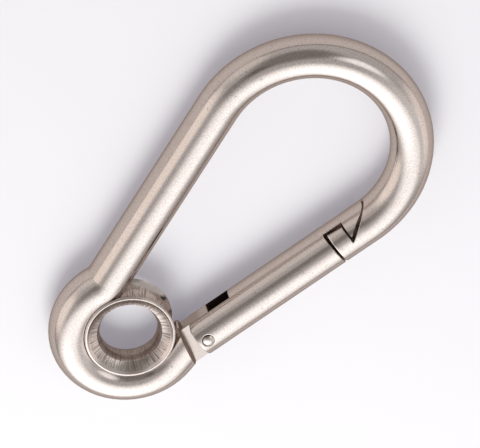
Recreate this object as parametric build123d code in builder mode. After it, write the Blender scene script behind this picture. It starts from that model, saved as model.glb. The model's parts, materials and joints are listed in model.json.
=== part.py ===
"""Stainless snap hook with eyelet: a bent rod, a flared eyelet and a sprung gate.

The hook lies in the XY plane. The origin is the centre of the eyelet's bore, +Z runs along the
bore and +X points from the eye to the bow. The gate closes the -Y side, the spine is the +Y side.
"""
from build123d import *

import os
from math import asin, atan2, cos, degrees, radians, sin, sqrt

# ---- driving dimensions, millimetres and degrees ----
ROD_R = 5.5              # the hook and the gate are the same 11 mm bar
EYE_TO_BOW = 66.3        # bore centre to the centre of the bow's arc
BOW_R = 26.2             # bow, measured on the rod's centreline
SPINE_ANGLE = 12.45      # spine opens away from +X by this angle
GATE_ANGLE = 11.2        # gate opens away from +X by this angle, on the other side

EYE_R = 14.75            # eye, on the rod's centreline
EYE_CENTRE = (-0.376, -0.137)  # the eye is bent slightly larger than its eyelet, on the far side
KINK_R = 5.65            # tight reverse bend between the spine and the eye
STUB_ANGLE = 17.7        # rod's last straight, against the gate's axis
STUB_LENGTH = 10.0       # before the shoulder is cut across it

EYELET_BORE_R = 7.5
EYELET_BORE_HALF = 1.2   # the bore is cylindrical to this height each way
EYELET_THROAT_R = 8.3    # edge between the bore's curved wall and the flare
EYELET_THROAT_HALF = 3.1
EYELET_HALF = 5.1        # half of the eyelet's height
EYELET_RIM_R = 11.6
EYELET_RIM_HALF = 4.68   # top of the rim, where the rolled lip begins
EYELET_LIP_R = 11.15     # the lip's crest, rolled down to the rim outside it
EYELET_LIP = 0.2         # flat of the crest
LIP_FILLET = 0.08
FLARE_BULGE = 0.15       # the flare bows this much towards the bore's axis
ROLL_BULGE = 0.1        # the lip's roll bows this much outwards
WALL_BULGE = 0.1         # and the wall below the throat this much inwards
EYELET_GROOVE_AT = 14.45  # centre of the round groove that grips the rod
EYELET_GROOVE_R = 5.42

# The gate's own frame: "along" runs from the eye to the nose, "across" runs into the hook.
PIN_ALONG = 14.9
GATE_TAIL = 12.3
TAIL_FILLET = 2.1
SHOULDER_ALONG = 9.2
SHOULDER_ACROSS = 0.6
SHOULDER_ANGLE = -12.3
SHOULDER_CHAMFER = 0.45

TONGUE_THICK = 3.8
TONGUE_INNER = 5.2       # tongue's faces, measured across
TONGUE_OUTER = -4.9
TONGUE_ROOT = (5.0, 3.2)  # buried in the rod, behind the shoulder
TONGUE_HEEL = 4.5        # the tip's outer corner, ahead of the pin
TONGUE_HEEL_FILLET = 2.0
TONGUE_EDGE = 0.15
SLOT_WIDE = 4.0
SLOT_END = 25.4

PIN_R = 1.4
PIN_HALF = 5.35          # cylindrical part of the rivet
PIN_DOME = 0.42
PIN_HOLE_TIGHT = 1.39    # in the gate's cheeks
PIN_HOLE_FREE = 1.46     # in the tongue
PIN_RECESS_R = 1.55      # ring round each rivet head
PIN_RECESS_AT = 5.0

# Latch: arcs about the pin, so that the gate's claw lifts clear of the nose's tooth.
GATE_END_ARC = 40.05
GATE_END_RELIEF = 0.3    # the gate's end falls back this much towards the inside
TOOTH_END_ARC = 40.5
TOOTH_BACK_ARC = 44.95
CLAW_FACE_ARC = 45.5
CLAW_UNDER = 4.8         # underside of the claw's neck, across
TOOTH_TOP = 4.45
TOOTH_FALL = 0.2         # the tooth's top drops this much towards its back
POCKET_FLOOR = 0.1
CLAW_TIP_ACROSS = 1.3
CLAW_SLOPE = 32.1
CLAW_RELIEF = 0.3        # the slope is ground hollow this deep, from its tip to the relief's end
CLAW_RELIEF_RUN = 5.2
POCKET_SLOPE = 36.1
CLAW_END = 66.9
POCKET_FLAT = 0.3
LATCH_FILLET = 0.25
EDGE_FILLET = 0.2        # broken edges on the bar's surface
TOOTH_EDGE = 0.4         # and at the tooth's end
TAIL_EDGE = 0.3

# Spring and follower inside the gate.
PLUNGER_ARM = 1.7        # the tongue's tip is an involute about the pin, of this base radius
TIP_REACH = 4.9          # pin to tip with the gate shut
PLUNGER_GAP = 0.1
GATE_SWING = 40.0
GATE_BORE_R = 1.95
BORE_END = 47.6
PLUNGER_R = 1.9
PLUNGER_HEAD = 9.0
STEM_R = 0.95
STEM_LENGTH = 5.0
PLUNGER_CHAMFER = 0.12
WIRE_R = 0.4
COIL_R = 1.45
COIL_PITCH = 1.5
COIL_GAP = 0.05          # the spring stands this far off the faces at its ends

PAST = 3.0               # how far a cutter runs past what it cuts
HAIR = 0.1               # small margin that keeps two faces from coinciding

# ---- the gate's frame ----
gate_dir = Vector(cos(radians(GATE_ANGLE)), -sin(radians(GATE_ANGLE)), 0)
inward = Vector(sin(radians(GATE_ANGLE)), cos(radians(GATE_ANGLE)), 0)
GATE_OFFSET = BOW_R - EYE_TO_BOW * sin(radians(GATE_ANGLE))
gate_plane = Plane(origin=inward * -GATE_OFFSET, x_dir=gate_dir, z_dir=(0, 0, 1))


def bar_plane(along):
    """The plane square to the gate's axis, at a place along it."""
    return Plane(origin=gate_plane.from_local_coords(Vector(along, 0, 0)), x_dir=inward, z_dir=gate_dir)


def about_pin(radius, across):
    """The point on an arc about the pin, at a height across the gate."""
    return (PIN_ALONG + sqrt(radius**2 - across**2), across)


def involute(angle):
    """The tongue's tip, where it meets the plunger when the gate has turned by an angle."""
    reach = TIP_REACH + PLUNGER_ARM * radians(angle)
    along = reach * cos(radians(angle)) - PLUNGER_ARM * sin(radians(angle))
    across = reach * sin(radians(angle)) + PLUNGER_ARM * cos(radians(angle))
    return (PIN_ALONG + along, across)


def surface_edges(found, low, high):
    """Edges on the bar's round surface between two places along it, without the surface's seam."""
    chosen = ShapeList()
    for edge in found:
        middle = gate_plane.to_local_coords(edge @ 0.5)
        on_surface = abs(Vector(0, middle.Y, middle.Z).length - ROD_R) < HAIR
        is_seam = edge.geom_type == GeomType.LINE and abs(middle.Z) < HAIR
        if on_surface and low < middle.X < high and not is_seam:
            chosen.append(edge)
    return chosen


def tongue_edges(found):
    """Edges round the tongue's two flat faces, past the shoulder, but not the pin's hole."""
    chosen = ShapeList()
    for edge in found:
        middle = gate_plane.to_local_coords(edge @ 0.5)
        on_face = abs(abs(middle.Z) - TONGUE_THICK / 2) < HAIR
        at_tip = middle.X > PIN_ALONG + TONGUE_HEEL - TONGUE_HEEL_FILLET
        inner_side = middle.Y > TONGUE_INNER - HAIR and middle.X > SHOULDER_ALONG
        if on_face and (at_tip or inner_side):
            chosen.append(edge)
    return chosen


# ---- the rod's path ----
bow_centre = Vector(EYE_TO_BOW, 0, 0)
eye_centre = Vector(*EYE_CENTRE, 0)
spine_dir = Vector(cos(radians(SPINE_ANGLE)), sin(radians(SPINE_ANGLE)), 0)
spine_out = Vector(-sin(radians(SPINE_ANGLE)), cos(radians(SPINE_ANGLE)), 0)
spine_top = bow_centre + spine_out * BOW_R

spine_from_eye = (spine_top - eye_centre).dot(spine_out)
kink_out = spine_from_eye + KINK_R
kink_along = sqrt((EYE_R + KINK_R)**2 - kink_out**2)
kink_centre = eye_centre + spine_dir * kink_along + spine_out * kink_out
spine_foot = kink_centre - spine_out * KINK_R
kink_to_eye = eye_centre - kink_centre
kink_start = SPINE_ANGLE - 90
kink_turn = degrees(atan2(kink_to_eye.Y, kink_to_eye.X)) - kink_start

eye_start = degrees(atan2(-kink_to_eye.Y, -kink_to_eye.X))
stub_heading = STUB_ANGLE - GATE_ANGLE
eye_turn = stub_heading + 270 - eye_start

nose_tangent = bow_centre - inward * BOW_R
nose_start = gate_plane.from_local_coords(Vector(PIN_ALONG + TOOTH_END_ARC - PAST, 0, 0))
bow_start = -90 - GATE_ANGLE
bow_turn = 180 + SPINE_ANGLE + GATE_ANGLE

shoulder_dir = gate_dir.rotate(Axis.Z, SHOULDER_ANGLE)
shoulder_at = gate_plane.from_local_coords(Vector(SHOULDER_ALONG, SHOULDER_ACROSS, 0))
shoulder_plane = Plane(origin=shoulder_at, z_dir=shoulder_dir)

# ---- hook body: the bent rod, with the nose's tooth at one end and the tongue at the other ----
with BuildPart() as hook_body:
    with BuildLine() as rod_path:
        Line(nose_start, nose_tangent)
        CenterArc(bow_centre, BOW_R, bow_start, bow_turn)
        Line(spine_top, spine_foot)
        CenterArc(kink_centre, KINK_R, kink_start, kink_turn)
        eye_arc = CenterArc(eye_centre, EYE_R, eye_start, eye_turn)
        PolarLine(eye_arc @ 1, STUB_LENGTH, stub_heading)
    with BuildSketch(Plane(origin=nose_start, z_dir=gate_dir)):
        Circle(ROD_R)
    sweep()

    # The rod's end is cut to a shoulder, chamfered all round.
    with BuildSketch(shoulder_plane):
        Rectangle(4 * ROD_R, 4 * ROD_R)
    extrude(amount=2 * ROD_R, mode=Mode.SUBTRACT)
    shoulder_faces = faces().filter_by(lambda f: abs(f.normal_at().dot(shoulder_dir)) > 0.999)
    shoulder_face = shoulder_faces.sort_by_distance(shoulder_at)[0]
    chamfer(shoulder_face.edges(), SHOULDER_CHAMFER)

    # Flat tongue, whose tip is the cam that drives the plunger.
    with BuildSketch(gate_plane):
        with BuildLine():
            tip = ThreePointArc(involute(GATE_SWING), involute(GATE_SWING / 2), involute(0))
            Polyline(
                tip @ 1,
                (PIN_ALONG + TONGUE_HEEL, TONGUE_OUTER),
                (TONGUE_ROOT[0], TONGUE_OUTER),
                TONGUE_ROOT,
                (SHOULDER_ALONG, TONGUE_INNER),
                tip @ 0,
            )
        make_face()
        heel = vertices().sort_by_distance((PIN_ALONG + TONGUE_HEEL, TONGUE_OUTER))[0]
        fillet(heel, TONGUE_HEEL_FILLET)
    extrude(amount=TONGUE_THICK / 2, both=True)
    fillet(tongue_edges(edges()), TONGUE_EDGE)

    with BuildSketch(gate_plane):
        with Locations((PIN_ALONG, 0)):
            Circle(PIN_HOLE_FREE)
    extrude(amount=ROD_R, both=True, mode=Mode.SUBTRACT)

    # Nose: everything that the gate and its claw need is cut away, which leaves the tooth.
    with BuildSketch(gate_plane):
        with BuildLine():
            low = -ROD_R - PAST
            high = ROD_R + PAST
            pocket_rise = high - POCKET_FLOOR
            pocket_run = pocket_rise / sin(radians(POCKET_SLOPE)) * cos(radians(POCKET_SLOPE))
            tooth_end = ThreePointArc(
                about_pin(TOOTH_END_ARC, low),
                about_pin(TOOTH_END_ARC, 0),
                about_pin(TOOTH_END_ARC, TOOTH_TOP),
            )
            tooth_back = ThreePointArc(
                about_pin(TOOTH_BACK_ARC, TOOTH_TOP - TOOTH_FALL),
                about_pin(TOOTH_BACK_ARC, TOOTH_TOP / 2),
                about_pin(TOOTH_BACK_ARC, POCKET_FLOOR),
            )
            Line(tooth_end @ 1, tooth_back @ 0)
            pocket_end = tooth_back @ 1 + Vector(POCKET_FLAT, 0)
            Polyline(
                tooth_back @ 1,
                pocket_end,
                pocket_end + Vector(pocket_run, pocket_rise),
                (PIN_ALONG + GATE_END_ARC - 2 * PAST, high),
                (PIN_ALONG + GATE_END_ARC - 2 * PAST, low),
                tooth_end @ 0,
            )
        make_face()
    extrude(amount=ROD_R + PAST, both=True, mode=Mode.SUBTRACT)
    tooth_at = PIN_ALONG + TOOTH_END_ARC
    fillet(surface_edges(edges(), tooth_at - 2 * EDGE_FILLET, tooth_at + EDGE_FILLET), TOOTH_EDGE)
    fillet(surface_edges(edges(), tooth_at + 2 * TOOTH_EDGE, CLAW_END), EDGE_FILLET)
hook_body.part.label = "hook_body"

# ---- eyelet: a turned spool, flared over both faces of the eye ----
with BuildPart() as eyelet:
    with BuildSketch(Plane.XZ):
        with BuildLine():
            groove_top = sqrt(EYELET_GROOVE_R**2 - (EYELET_GROOVE_AT - EYELET_RIM_R)**2)
            flare_edge = EYELET_LIP_R - EYELET_LIP
            ThreePointArc(
                (EYELET_RIM_R, groove_top),
                (EYELET_GROOVE_AT - EYELET_GROOVE_R, 0),
                (EYELET_RIM_R, -groove_top),
            )
            for side in (1, -1):
                Line((EYELET_RIM_R, side * groove_top), (EYELET_RIM_R, side * EYELET_RIM_HALF))
                SagittaArc(
                    (EYELET_RIM_R, side * EYELET_RIM_HALF),
                    (EYELET_LIP_R, side * EYELET_HALF),
                    -side * ROLL_BULGE,
                )
                Line((EYELET_LIP_R, side * EYELET_HALF), (flare_edge, side * EYELET_HALF))
                SagittaArc(
                    (flare_edge, side * EYELET_HALF),
                    (EYELET_THROAT_R, side * EYELET_THROAT_HALF),
                    side * FLARE_BULGE,
                )
                SagittaArc(
                    (EYELET_THROAT_R, side * EYELET_THROAT_HALF),
                    (EYELET_BORE_R, side * EYELET_BORE_HALF),
                    side * WALL_BULGE,
                )
            Line((EYELET_BORE_R, EYELET_BORE_HALF), (EYELET_BORE_R, -EYELET_BORE_HALF))
        make_face()
    revolve(axis=Axis.Z)
    lips = edges().filter_by(lambda e: abs(abs(e.center().Z) - EYELET_HALF) < HAIR)
    fillet(lips.filter_by(GeomType.CIRCLE), LIP_FILLET)
eyelet.part.label = "eyelet"

# ---- gate: a round bar, slotted for the tongue, with the claw at its far end ----
with BuildPart() as gate:
    with BuildSketch(bar_plane(GATE_TAIL)):
        Circle(ROD_R)
    extrude(amount=CLAW_END - GATE_TAIL)

    with BuildSketch(gate_plane):
        with BuildLine():
            side_at = ROD_R + HAIR
            tail_low = (GATE_TAIL, -side_at)
            tail_high = (GATE_TAIL, side_at)
            gate_end = ThreePointArc(
                about_pin(GATE_END_ARC, -side_at),
                about_pin(GATE_END_ARC - GATE_END_RELIEF / 4, 0),
                about_pin(GATE_END_ARC - GATE_END_RELIEF, CLAW_UNDER),
            )
            claw_face = ThreePointArc(
                about_pin(CLAW_FACE_ARC, CLAW_UNDER),
                about_pin(CLAW_FACE_ARC, CLAW_UNDER / 2),
                about_pin(CLAW_FACE_ARC, CLAW_TIP_ACROSS),
            )
            Line(gate_end @ 1, claw_face @ 0)
            claw_climb = sin(radians(CLAW_SLOPE)) / cos(radians(CLAW_SLOPE))
            claw_rise = (CLAW_END - (claw_face @ 1).X) * claw_climb
            claw_top = (CLAW_END, CLAW_TIP_ACROSS + claw_rise)
            relief_end = claw_face @ 1 + Vector(CLAW_RELIEF_RUN, CLAW_RELIEF_RUN * claw_climb)
            SagittaArc(claw_face @ 1, relief_end, CLAW_RELIEF)
            Polyline(relief_end, claw_top, (CLAW_END, side_at), tail_high, tail_low, gate_end @ 0)
        make_face()
        fillet(vertices().sort_by(Axis.X)[0:2], TAIL_FILLET)
        fillet(vertices().sort_by_distance(gate_end @ 1)[0], LATCH_FILLET)
        fillet(vertices().sort_by_distance(claw_face @ 1)[0], LATCH_FILLET)
    extrude(amount=ROD_R + PAST, both=True, mode=Mode.INTERSECT)

    with BuildSketch(gate_plane):
        with Locations((SLOT_END, 0)):
            Rectangle(SLOT_END, 4 * ROD_R, align=(Align.MAX, Align.CENTER))
    extrude(amount=SLOT_WIDE / 2, both=True, mode=Mode.SUBTRACT)

    with BuildSketch(bar_plane(SLOT_END - HAIR)):
        Circle(GATE_BORE_R)
    extrude(amount=BORE_END - SLOT_END + HAIR, mode=Mode.SUBTRACT)

    with BuildSketch(gate_plane):
        with Locations((PIN_ALONG, 0)):
            Circle(PIN_HOLE_TIGHT)
    extrude(amount=ROD_R + PAST, both=True, mode=Mode.SUBTRACT)

    for side in (1, -1):
        with BuildSketch(gate_plane.offset(side * PIN_RECESS_AT)):
            with Locations((PIN_ALONG, 0)):
                Circle(PIN_RECESS_R)
        extrude(amount=side * PAST, mode=Mode.SUBTRACT)

    neck_end = PIN_ALONG + CLAW_FACE_ARC - 2 * LATCH_FILLET - HAIR
    fillet(surface_edges(edges(), PIN_ALONG + GATE_END_ARC - PAST, neck_end - HAIR), EDGE_FILLET)
    fillet(surface_edges(edges(), GATE_TAIL, GATE_TAIL + TAIL_FILLET / 2), TAIL_EDGE)
gate.part.label = "gate"

# ---- pivot pin: a plain rivet with domed ends ----
with BuildPart() as pivot_pin:
    with BuildSketch(gate_plane):
        with Locations((PIN_ALONG, 0)):
            Circle(PIN_R)
    extrude(amount=PIN_HALF, both=True)
    dome_r = (PIN_R**2 + PIN_DOME**2) / (2 * PIN_DOME)
    pin_foot = gate_plane.from_local_coords(Vector(PIN_ALONG, 0, 0))
    for side in (1, -1):
        dome_plane = Plane(origin=pin_foot, z_dir=(0, 0, side)).offset(PIN_HALF)
        with BuildSketch(Plane(origin=dome_plane.origin, x_dir=(1, 0, 0), z_dir=(0, -side, 0))):
            with BuildLine():
                half_turn = degrees(asin(PIN_R / dome_r))
                rim = Vector(PIN_R, 0)
                crown = Vector(0, PIN_DOME)
                middle = Vector(dome_r * sin(radians(half_turn / 2)),
                                dome_r * cos(radians(half_turn / 2)) - dome_r + PIN_DOME)
                ThreePointArc(rim, middle, crown)
                Polyline(crown, (0, 0), rim)
            make_face()
        revolve(axis=Axis(pin_foot, (0, 0, 1)))
pivot_pin.part.label = "pivot_pin"

# ---- spring plunger: head in the bore and slot, stem inside the spring ----
with BuildPart() as spring_plunger:
    plunger_face = PIN_ALONG + TIP_REACH + PLUNGER_GAP
    with BuildSketch(bar_plane(plunger_face)):
        Circle(PLUNGER_R)
    extrude(amount=PLUNGER_HEAD)
    with BuildSketch(bar_plane(plunger_face + PLUNGER_HEAD)):
        Circle(STEM_R)
    extrude(amount=STEM_LENGTH)
    end_edges = edges().filter_by(GeomType.CIRCLE).sort_by(Axis(gate_plane.origin, gate_dir))
    chamfer([end_edges[0], end_edges[-1]], PLUNGER_CHAMFER)
spring_plunger.part.label = "spring_plunger"

# ---- gate spring: a plain coil between the plunger's head and the bottom of the bore ----
spring_start = plunger_face + PLUNGER_HEAD + WIRE_R + COIL_GAP
spring_length = BORE_END - WIRE_R - COIL_GAP - spring_start
with BuildPart() as gate_spring:
    with BuildLine():
        coil_foot = bar_plane(spring_start).origin
        coil = Helix(COIL_PITCH, spring_length, COIL_R, center=coil_foot, direction=gate_dir)
    with BuildSketch(Plane(origin=coil @ 0, z_dir=coil % 0)):
        Circle(WIRE_R)
    sweep(path=coil, is_frenet=True)
gate_spring.part.label = "gate_spring"

os.makedirs("parts", exist_ok=True)
export_step(hook_body.part, "parts/hook_body.step")
export_step(eyelet.part, "parts/eyelet.step")
export_step(gate.part, "parts/gate.step")
export_step(pivot_pin.part, "parts/pivot_pin.step")
export_step(spring_plunger.part, "parts/spring_plunger.step")
export_step(gate_spring.part, "parts/gate_spring.step")
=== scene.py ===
import json
from math import cos, radians, sin

import bpy
from mathutils import Matrix, Vector


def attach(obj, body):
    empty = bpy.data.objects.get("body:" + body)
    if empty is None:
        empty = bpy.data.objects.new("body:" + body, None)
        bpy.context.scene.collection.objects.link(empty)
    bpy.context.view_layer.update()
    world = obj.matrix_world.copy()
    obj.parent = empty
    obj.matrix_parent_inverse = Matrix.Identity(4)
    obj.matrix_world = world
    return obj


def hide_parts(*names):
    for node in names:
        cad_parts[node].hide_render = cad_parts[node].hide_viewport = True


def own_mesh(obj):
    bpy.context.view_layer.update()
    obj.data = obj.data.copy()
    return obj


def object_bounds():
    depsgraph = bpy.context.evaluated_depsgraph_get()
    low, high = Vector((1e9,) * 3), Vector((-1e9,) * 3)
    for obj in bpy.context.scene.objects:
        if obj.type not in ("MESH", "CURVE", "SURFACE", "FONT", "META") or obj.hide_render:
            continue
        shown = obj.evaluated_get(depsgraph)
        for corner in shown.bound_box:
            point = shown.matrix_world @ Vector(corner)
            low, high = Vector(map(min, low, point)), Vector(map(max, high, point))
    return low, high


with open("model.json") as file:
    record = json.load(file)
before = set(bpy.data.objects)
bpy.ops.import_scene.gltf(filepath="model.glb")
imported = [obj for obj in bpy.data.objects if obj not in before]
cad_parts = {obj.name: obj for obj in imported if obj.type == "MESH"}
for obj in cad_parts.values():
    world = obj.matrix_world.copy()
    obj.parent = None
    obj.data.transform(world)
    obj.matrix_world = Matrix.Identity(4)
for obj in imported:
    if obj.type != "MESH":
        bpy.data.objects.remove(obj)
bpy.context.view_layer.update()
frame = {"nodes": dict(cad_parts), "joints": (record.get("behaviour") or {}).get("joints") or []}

nodes = frame["nodes"]
joints = {joint["name"]: joint for joint in frame["joints"]}
MM = 0.001


# ---------------------------------------------------------------- camera

AIM = Vector((0.0400, -0.0014, 0.0))
AZIMUTH = radians(55.01)
ELEVATION = radians(60.07)
DISTANCE = 1.0641
ROLL = radians(166.59)
LENS = 318.0
SENSOR = 36.0
CLIP_NEAR, CLIP_FAR = 0.05, 20.0


def look(aim, azimuth, elevation, distance, roll):
    """Camera placement from the compass direction and height it looks from, turned about its own axis."""
    back = Vector((cos(azimuth) * cos(elevation), sin(azimuth) * cos(elevation), sin(elevation)))
    level_up = (Vector((0, 0, 1)) - back * back.z).normalized()
    level_right = (-back).cross(level_up)
    up = cos(roll) * level_up - sin(roll) * level_right
    right = sin(roll) * level_up + cos(roll) * level_right
    place = aim + back * distance
    turn = Matrix((right, up, back)).transposed().to_4x4()
    return Matrix.Translation(place) @ turn


def make_camera():
    data = bpy.data.cameras.new("camera")
    data.lens = LENS
    data.sensor_width = SENSOR
    data.clip_start, data.clip_end = CLIP_NEAR, CLIP_FAR
    camera = bpy.data.objects.new("camera", data)
    bpy.context.scene.collection.objects.link(camera)
    camera.matrix_world = look(AIM, AZIMUTH, ELEVATION, DISTANCE, ROLL)
    bpy.context.scene.camera = camera


# ---------------------------------------------------------------- node helpers

class Graph:
    """Short calls for building a node tree."""

    def __init__(self, tree):
        self.tree = tree
        tree.nodes.clear()

    def add(self, kind, **settings):
        node = self.tree.nodes.new(kind)
        for key, value in settings.items():
            setattr(node, key, value)
        return node

    def join(self, source, target):
        self.tree.links.new(source, target)

    def put(self, socket, value):
        if isinstance(value, bpy.types.NodeSocket):
            self.join(value, socket)
        else:
            socket.default_value = value

    def math(self, operation, *values):
        node = self.add("ShaderNodeMath", operation=operation)
        for socket, value in zip(node.inputs, values):
            self.put(socket, value)
        return node.outputs[0]

    def times(self, first, *others):
        """Product of two or more numbers or sockets."""
        for other in others:
            first = self.math("MULTIPLY", first, other)
        return first

    def dot(self, vector, other):
        node = self.add("ShaderNodeVectorMath", operation="DOT_PRODUCT")
        self.put(node.inputs[0], vector)
        self.put(node.inputs[1], other)
        return node.outputs["Value"]

    def parts(self, vector):
        """The outputs X, Y and Z of a vector."""
        split = self.add("ShaderNodeSeparateXYZ")
        self.join(vector, split.inputs[0])
        return split.outputs

    def vector(self, *values):
        node = self.add("ShaderNodeCombineXYZ")
        for socket, value in zip(node.inputs, values):
            self.put(socket, value)
        return node.outputs[0]

    def ramp(self, value, low, high, to_low=0.0, to_high=1.0):
        """Smooth step: to_low where value is at low, to_high where it is at high."""
        node = self.add("ShaderNodeMapRange")
        node.interpolation_type = "SMOOTHSTEP"
        for socket, number in zip(node.inputs, (value, low, high, to_low, to_high)):
            self.put(socket, number)
        return node.outputs["Result"]

    def blend(self, factor, first, second, mode="MIX"):
        node = self.add("ShaderNodeMix", data_type="RGBA", blend_type=mode)
        node.clamp_factor = False
        self.put(node.inputs["Factor"], factor)
        colours = [s for s in node.inputs if s.type == "RGBA"]
        self.put(colours[0], first)
        self.put(colours[1], second)
        return [s for s in node.outputs if s.type == "RGBA"][0]

    def noise(self, vector, scale, detail=2.0, roughness=0.5):
        node = self.add("ShaderNodeTexNoise")
        self.put(node.inputs["Vector"], vector)
        node.inputs["Scale"].default_value = scale
        node.inputs["Detail"].default_value = detail
        node.inputs["Roughness"].default_value = roughness
        return node.outputs["Fac"]


# ---------------------------------------------------------------- studio

# name, compass direction, height, inner and outer half angle in degrees, strength, colour
SOFTBOXES = (
    ("key", -147, 36, 16, 50, 1.05, (1.0, 1.0, 1.0)),
    ("key core", -150, 34, 6, 28, 0.5, (1.0, 1.0, 1.0)),
    ("strip", -80, 43, 8, 30, 0.25, (1.0, 1.0, 1.0)),
    ("fill", -18, 56, 4, 16, 0.70, (1.0, 0.99, 0.97)),
    ("low warm right", -60, 10, 10, 32, 0.42, (1.0, 0.87, 0.78)),
    ("low warm left", 134, 20, 12, 30, 0.55, (1.0, 0.86, 0.76)),
    ("low warm back", 88, 14, 8, 26, 0.22, (1.0, 0.86, 0.76)),
)
# the same for what takes light away
DARK_PANELS = (
    ("camera stand", 46, 54, 12, 34, -0.27, (1.0, 1.0, 1.0)),
    ("ceiling edge", 108, 62, 4, 18, -0.20, (1.0, 1.0, 1.0)),
)
ROOM = (0.495, 0.47, 0.455)
HORIZON = (0.02, 0.13)   # sines of the heights where the dark skirting starts to fade and ends
HORIZON_TONE = (0.25, 0.22, 0.205)
BACKGROUND = (0.93, 0.93, 0.94)

LAMP_AZIMUTH = -150
LAMP_HEIGHT = 48
LAMP_DISTANCE = 0.6
LAMP_SIDE = 0.34
LAMP_POWER = 2.6

FLOOR_HALF = 3.0
PAPER_LOW = (0.610, 0.612, 0.605, 1)
PAPER_HIGH = (0.622, 0.624, 0.617, 1)
PAPER_GRAIN = 60.0
PAPER_ROUGHNESS = 0.9
PAPER_SPECULAR = 0.1
PAPER_GLOW = (0.98, 0.97, 1.24, 1.0)
PAPER_GLOW_STRENGTH = 0.17
# painted reflection: a warm, dim table colour that the floor shows only in the steel's reflections
PAINTED_TABLE_REFLECTION = (0.53, 0.45, 0.395)
PAINTED_REFLECTION_SHARE = 0.7        # of what the steel mirrors of the floor


def compass(azimuth, elevation):
    a, e = radians(azimuth), radians(elevation)
    return (cos(a) * cos(e), sin(a) * cos(e), sin(e))


def make_lamp():
    """Large square lamp that lights the paper and throws the soft shadow; the world draws its reflection."""
    data = bpy.data.lights.new("key_lamp", "AREA")
    data.shape = "SQUARE"
    data.size = LAMP_SIDE
    data.energy = LAMP_POWER
    lamp = bpy.data.objects.new("key_lamp", data)
    bpy.context.scene.collection.objects.link(lamp)
    toward = Vector(compass(LAMP_AZIMUTH, LAMP_HEIGHT))
    turn = toward.to_track_quat("Z", "Y").to_matrix().to_4x4()
    lamp.matrix_world = Matrix.Translation(AIM + toward * LAMP_DISTANCE) @ turn
    lamp.visible_glossy = False
    lamp.visible_camera = False


def make_world():
    world = bpy.data.worlds.new("studio")
    bpy.context.scene.world = world
    world.use_nodes = True
    g = Graph(world.node_tree)
    direction = g.add("ShaderNodeTexCoord").outputs["Generated"]
    rise = g.ramp(g.parts(direction)["Z"], *HORIZON)
    colour = g.blend(rise, (*HORIZON_TONE, 1.0), (*ROOM, 1.0))
    for _, azimuth, elevation, inner, outer, strength, tint in SOFTBOXES + DARK_PANELS:
        facing = g.dot(direction, compass(azimuth, elevation))
        glow = g.ramp(facing, cos(radians(outer)), cos(radians(inner)), 0.0, strength)
        colour = g.blend(glow, colour, (*tint, 1.0), "ADD")
    seen = g.add("ShaderNodeLightPath").outputs["Is Camera Ray"]
    colour = g.blend(seen, colour, (*BACKGROUND, 1.0))
    sky = g.add("ShaderNodeBackground")
    g.join(colour, sky.inputs["Color"])
    g.join(sky.outputs[0], g.add("ShaderNodeOutputWorld").inputs["Surface"])


def floor_paper():
    """White paper lit for the picture; in the steel's reflections it shows a painted reflection of a warmer,
    dimmer table.
    """
    material = bpy.data.materials.new("floor_paper")
    material.use_nodes = True
    g = Graph(material.node_tree)
    place = g.add("ShaderNodeTexCoord").outputs["Object"]
    shade = g.noise(place, PAPER_GRAIN, 3.0)
    paper = g.add("ShaderNodeBsdfPrincipled")
    g.join(g.blend(shade, PAPER_LOW, PAPER_HIGH), paper.inputs["Base Color"])
    paper.inputs["Roughness"].default_value = PAPER_ROUGHNESS
    paper.inputs["Specular IOR Level"].default_value = PAPER_SPECULAR
    paper.inputs["Emission Color"].default_value = PAPER_GLOW
    paper.inputs["Emission Strength"].default_value = PAPER_GLOW_STRENGTH
    # painted reflection: the table colour, shown only to glossy rays
    painted_reflection = g.add("ShaderNodeEmission")
    painted_reflection.inputs["Color"].default_value = (*PAINTED_TABLE_REFLECTION, 1.0)
    mix = g.add("ShaderNodeMixShader")
    reflected = g.add("ShaderNodeLightPath").outputs["Is Glossy Ray"]
    g.join(g.times(reflected, PAINTED_REFLECTION_SHARE), mix.inputs[0])
    g.join(paper.outputs[0], mix.inputs[1])
    g.join(painted_reflection.outputs[0], mix.inputs[2])
    g.join(mix.outputs[0], g.add("ShaderNodeOutputMaterial").inputs["Surface"])
    return material


def make_floor():
    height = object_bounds()[0].z
    corners = ((-1, -1), (1, -1), (1, 1), (-1, 1))
    mesh = bpy.data.meshes.new("floor")
    mesh.from_pydata([(x * FLOOR_HALF, y * FLOOR_HALF, height) for x, y in corners], [], [(0, 1, 2, 3)])
    floor = bpy.data.objects.new("floor", mesh)
    bpy.context.scene.collection.objects.link(floor)
    mesh.materials.append(floor_paper())


# ---------------------------------------------------------------- steel

gate_dir = Vector(joints["plunger_slide"]["axis"])
pin_at = Vector(joints["gate_hinge"]["pos_m"])
inward = Vector((-gate_dir.y, gate_dir.x, 0.0))

# base colours
STEEL = (0.80, 0.735, 0.705)
# dark of the real oxide spots, also used for the painted shade in the slot and at the rivet
OXIDE_AND_SHADE = (0.105, 0.078, 0.066)
# the plunger's dark colour is painted shade from inside the slot
PLUNGER_SHADE_TINT = (0.20, 0.17, 0.15)
SPRING_TINT = (0.40, 0.36, 0.34)
SPECULAR_TINT = (0.6, 0.57, 0.55, 1.0)

# roughness where the skin is most and least polished
SKIN_GLOSS = (0.09, 0.16)
EYELET_GLOSS = (0.14, 0.22)
PIN_GLOSS = (0.12, 0.2)
PLUNGER_GLOSS = (0.25, 0.4)
SPRING_GLOSS = (0.2, 0.3)

# marks on the skin, some of them painted shade: colour and roughness, with how much of it shows below
DRAWN = ((0.50, 0.44, 0.41), None)          # lines along the drawn bar
MILLED = ((0.47, 0.41, 0.38), 0.26)         # flats of the hinge tongue
SAWN = ((0.36, 0.29, 0.25), 0.34)
SHOULDER_PAINTED_SHADE = ((0.27, 0.20, 0.16), 0.32)       # chamfer behind the tongue: painted dark brown shade, with a rougher finish
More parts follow.
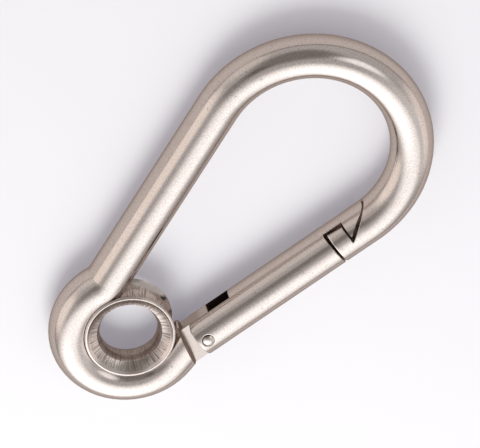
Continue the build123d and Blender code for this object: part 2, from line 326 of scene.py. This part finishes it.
# painted shade on the bore's inner wall
BORE_PAINTED_SHADE = ((0.30, 0.24, 0.21), 0.3)
# painted shade in the flare's creases
CREASE_PAINTED_SHADE = ((0.24, 0.19, 0.165), 0.3)
# painted shade in the slot and at the rivet's recess, in the oxide's colour and rougher
RECESS_PAINTED_SHADE = (OXIDE_AND_SHADE, 0.5)
DRAWN_SHARE = 0.25
MILLED_SHARE = 0.6
SAWN_SHARE = 0.75
BORE_SHADE_SHARE = 0.5
CREASE_SHADE_SHARE = 0.85

# noise scales, per metre
GRAIN = 2700.0
CLOUD = 190.0
SPOTS = 850.0
DRAWN_ALONG = 90.0
DRAWN_ACROSS = 2600.0

# the tumbled skin: pairs are the ends of a smooth edge in a noise, from 0 to 1
GRAIN_EDGE = (0.28, 0.72)
GRAIN_SHADE = 0.78       # the grain's dark side, as a share of the base colour
STAIN_EDGE = (0.45, 0.75)
STAIN_SHADE = 0.90
STAIN_WARMTH = (1.0, 0.97, 0.94)
STAIN_SHARE = 0.5
SPOT_EDGE = (0.70, 0.80)
SPOT_SHARE = 0.25
WEAR_CLOUD, WEAR_GRAIN = 0.6, 0.4
WEAR_EDGE = (0.35, 0.65)
LINE_EDGE = (0.5, 0.75)

BUMP_DEPTH = 0.03 * MM
RELIEF = 0.16            # share of the bump that the tumbled skin shows
EYELET_RELIEF = 0.3

# The pairs below are the two ends of a smooth edge: nothing at the first, all of it at the second.
SAWN_FACING = (0.93, 0.99)                  # cosine between a face's normal and the gate's axis
SAWN_ASIDE = (6.6 * MM, 6.2 * MM)           # sawn faces lie this near the gate's axis,
SAWN_AFTER = (-9.0 * MM, -8.6 * MM)         # from here behind the pin
SAWN_BEFORE = (50.0 * MM, 49.0 * MM)        # to here in front of it

SHOULDER_ANGLE = -12.3                      # the shoulder's plane: its turn from the gate's axis, in degrees
SHOULDER_BEHIND_PIN = 5.7 * MM
SHOULDER_ACROSS = 0.6 * MM
SHOULDER_NEAR = (9.0 * MM, 7.5 * MM)
CHAMFER_FROM = (-0.47 * MM, -0.40 * MM)
CHAMFER_TO = (0.05 * MM, 0.01 * MM)
TONGUE_EDGE = (1.92 * MM, 1.98 * MM)        # the chamfer starts where the tongue's flats end
TONGUE_FLATS = (2.06 * MM, 2.02 * MM)

# the slot's inside, which is painted dark as shade
SLOT_HALF = (2.06 * MM, 2.01 * MM)
SLOT_END = (10.6 * MM, 10.54 * MM)
RIVET_RECESS = (1.62 * MM, 1.56 * MM)
RIVET_SHADE_SIDE = (-0.45, 0.89, 0.0)             # the side of the rivet's recess that gets painted shade
RIVET_SHADE_SPAN = (-1.1 * MM, 0.8 * MM, 0.15, 1.0)

CREASES_ROUND = 22.0                        # noise scale on a unit circle round the bore
CREASES_UP = 9.0                            # so that a crease hardly changes with height
CREASE_INNER = (10.45 * MM, 10.1 * MM)
CREASE_EDGE = (0.47, 0.60)                  # in the noise, as for the skin
CREASE_ROUGHNESS = 0.12                     # added where the flare is creased
CREASE_HEIGHT = 3.0                         # against the grain's height of 1
BORE_RADIUS = (8.35 * MM, 8.2 * MM)


class Steel(Graph):
    """Tumbled stainless steel; a part adds its own marks before done()."""

    def __init__(self, name, tint=STEEL, gloss=SKIN_GLOSS):
        self.material = bpy.data.materials.new(name)
        self.material.use_nodes = True
        super().__init__(self.material.node_tree)
        self.place = self.add("ShaderNodeTexCoord").outputs["Object"]
        self.grain = self.noise(self.place, GRAIN, 3.0, 0.65)
        self.cloud = self.noise(self.place, CLOUD, 3.0, 0.55)
        dark = [GRAIN_SHADE * channel for channel in tint]
        self.colour = self.blend(self.ramp(self.grain, *GRAIN_EDGE), (*dark, 1), (*tint, 1))
        stain = [STAIN_SHADE * channel * warm for channel, warm in zip(tint, STAIN_WARMTH)]
        stained = self.times(self.ramp(self.cloud, *STAIN_EDGE), STAIN_SHARE)
        self.colour = self.blend(stained, self.colour, (*stain, 1))
        spots = self.ramp(self.noise(self.place, SPOTS, 1.0), *SPOT_EDGE)
        self.colour = self.blend(self.times(spots, SPOT_SHARE), self.colour, (*OXIDE_AND_SHADE, 1))
        wear = self.math("ADD", self.times(self.cloud, WEAR_CLOUD), self.times(self.grain, WEAR_GRAIN))
        self.rough = self.ramp(wear, *WEAR_EDGE, *gloss)
        self.height = self.grain
        self.relief = RELIEF

    def mark(self, mask, colour, rough=None):
        """Lays a colour, and a roughness if one is given, over the skin where the mask is 1."""
        self.colour = self.blend(mask, self.colour, (*colour, 1))
        if rough is not None:
            gap = self.math("SUBTRACT", rough, self.rough)
            self.rough = self.math("ADD", self.rough, self.times(mask, gap))

    def along(self, direction, origin):
        """Distance in metres from a point, measured along a direction."""
        return self.math("SUBTRACT", self.dot(self.place, direction), origin.dot(direction))

    def round_about(self, centre):
        """Distance from the upright axis through a point."""
        flat = self.add("ShaderNodeVectorMath", operation="SUBTRACT")
        self.join(self.place, flat.inputs[0])
        flat.inputs[1].default_value = centre
        level = self.add("ShaderNodeVectorMath", operation="MULTIPLY")
        self.join(flat.outputs[0], level.inputs[0])
        level.inputs[1].default_value = (1, 1, 0)
        size = self.add("ShaderNodeVectorMath", operation="LENGTH")
        self.join(level.outputs[0], size.inputs[0])
        return size.outputs["Value"]

    def from_middle(self):
        """Height above or below the bar's middle plane."""
        return self.math("ABSOLUTE", self.parts(self.place)["Z"])

    def from_pin(self):
        """Distance in front of the hinge pin, along the gate."""
        return self.along(gate_dir.to_tuple(), pin_at)

    def cut_face(self):
        """The sawn faces at the gate's two ends are duller and browner than the tumbled skin."""
        normal = self.add("ShaderNodeNewGeometry").outputs["True Normal"]
        facing = self.math("ABSOLUTE", self.dot(normal, gate_dir.to_tuple()))
        aside = self.math("ABSOLUTE", self.along(inward.to_tuple(), pin_at))
        mask = self.ramp(facing, *SAWN_FACING, 0.0, SAWN_SHARE)
        for value, edge in ((aside, SAWN_ASIDE), (self.from_pin(), SAWN_AFTER), (self.from_pin(), SAWN_BEFORE)):
            mask = self.times(mask, self.ramp(value, *edge))
        self.mark(mask, *SAWN)

    def done(self):
        shader = self.add("ShaderNodeBsdfPrincipled")
        shader.inputs["Metallic"].default_value = 1.0
        shader.inputs["Specular Tint"].default_value = SPECULAR_TINT
        self.join(self.colour, shader.inputs["Base Color"])
        self.join(self.rough, shader.inputs["Roughness"])
        bump = self.add("ShaderNodeBump")
        bump.inputs["Strength"].default_value = self.relief
        bump.inputs["Distance"].default_value = BUMP_DEPTH
        self.join(self.height, bump.inputs["Height"])
        self.join(bump.outputs[0], shader.inputs["Normal"])
        self.join(shader.outputs[0], self.add("ShaderNodeOutputMaterial").inputs["Surface"])
        return self.material


def hook_steel():
    """The shoulder behind the tongue is sawn and chamfered, and its chamfer is painted dark brown as shade; the
    tongue is milled.
    """
    skin = Steel("hook_steel")
    skin.cut_face()
    facing = gate_dir.copy()
    facing.rotate(Matrix.Rotation(radians(SHOULDER_ANGLE), 3, "Z"))
    foot = pin_at - gate_dir * SHOULDER_BEHIND_PIN + inward * SHOULDER_ACROSS
    past = skin.along(facing.to_tuple(), foot)
    height = skin.from_middle()
    chamfer = skin.times(skin.ramp(past, *CHAMFER_FROM), skin.ramp(past, *CHAMFER_TO))
    near = skin.ramp(skin.round_about(foot), *SHOULDER_NEAR)
    # painted shade on the chamfer behind the tongue
    skin.mark(skin.times(chamfer, skin.ramp(height, *TONGUE_EDGE), near), *SHOULDER_PAINTED_SHADE)
    milled = skin.times(skin.ramp(height, *TONGUE_FLATS), near)
    skin.mark(skin.times(milled, MILLED_SHARE), *MILLED)
    return skin.done()


def eyelet_steel():
    """Drawn sheet: the flare and the bore carry fine creases that run out from the axis; painted shade darkens
    the creases and the bore's wall.
    """
    skin = Steel("eyelet_steel", gloss=EYELET_GLOSS)
    x, y, z = skin.parts(skin.place)
    turn = skin.math("ARCTAN2", y, x)
    round_bore = skin.vector(skin.math("COSINE", turn), skin.math("SINE", turn), skin.times(z, CREASES_UP))
    creases = skin.noise(round_bore, CREASES_ROUND, 4.0, 0.8)
    radius = skin.round_about((0, 0, 0))
    inner = skin.ramp(radius, *CREASE_INNER)
    lines = skin.times(skin.ramp(creases, *CREASE_EDGE), inner)
    # the creases are real bumps and roughness; their dark colour is painted shade
    skin.mark(skin.times(lines, CREASE_SHADE_SHARE), *CREASE_PAINTED_SHADE)
    # painted shade on the bore's inner wall
    bore_shade = skin.ramp(radius, *BORE_RADIUS)
    skin.mark(skin.times(bore_shade, BORE_SHADE_SHARE), *BORE_PAINTED_SHADE)
    drawn = skin.times(creases, inner)
    skin.rough = skin.math("ADD", skin.rough, skin.times(drawn, CREASE_ROUGHNESS))
    skin.height = skin.math("ADD", skin.grain, skin.times(drawn, CREASE_HEIGHT))
    skin.relief = EYELET_RELIEF
    return skin.done()


def gate_steel():
    """Drawn bar, with painted shade in the slot and on one side of the rivet's recess."""
    skin = Steel("gate_steel")
    drawn = skin.vector(
        skin.times(skin.dot(skin.place, gate_dir.to_tuple()), DRAWN_ALONG),
        skin.times(skin.dot(skin.place, inward.to_tuple()), DRAWN_ACROSS),
        skin.times(skin.dot(skin.place, (0, 0, 1)), DRAWN_ACROSS),
    )
    lines = skin.noise(drawn, 1.0, 2.0)
    skin.mark(skin.times(skin.ramp(lines, *LINE_EDGE), DRAWN_SHARE), *DRAWN)
    skin.cut_face()
    # painted shade: the inside of the slot is darkened
    slot_shade = skin.times(skin.ramp(skin.from_middle(), *SLOT_HALF), skin.ramp(skin.from_pin(), *SLOT_END))
    skin.mark(slot_shade, *RECESS_PAINTED_SHADE)
    # painted shade on one side of the rivet's recess
    ring = skin.ramp(skin.round_about(pin_at), *RIVET_RECESS)
    shaded_side = skin.ramp(skin.along(RIVET_SHADE_SIDE, pin_at), *RIVET_SHADE_SPAN)
    skin.mark(skin.times(ring, shaded_side), *RECESS_PAINTED_SHADE)
    return skin.done()


def closing_spring():
    """A copy of the coil with its own mesh, attached to the gate arm in place of the hidden CAD node; the CAD
    node can't change its length.
    """
    coil = nodes["gate_spring"].copy()
    coil.name = "closing_coil"
    coil.data = nodes["gate_spring"].data.copy()
    bpy.context.scene.collection.objects.link(coil)
    reach = [gate_dir.dot(vertex.co) for vertex in coil.data.vertices]
    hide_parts("gate_spring")
    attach(coil, "gate_arm")
    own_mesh(coil)
    return coil


def coat(piece, material):
    piece.data.materials.clear()
    piece.data.materials.append(material)


make_camera()
make_world()
make_lamp()
make_floor()
bpy.context.scene.view_settings.view_transform = "Standard"

coat(nodes["hook_body"], hook_steel())
coat(nodes["eyelet"], eyelet_steel())
coat(nodes["gate"], gate_steel())
coat(nodes["pivot_pin"], Steel("pin_steel", gloss=PIN_GLOSS).done())
# plunger coloured dark as painted shade inside the slot
coat(nodes["spring_plunger"], Steel("plunger_steel", tint=PLUNGER_SHADE_TINT, gloss=PLUNGER_GLOSS).done())
spring_steel = Steel("spring_steel", tint=SPRING_TINT, gloss=SPRING_GLOSS).done()
coat(nodes["gate_spring"], spring_steel)
coat(closing_spring(), spring_steel)
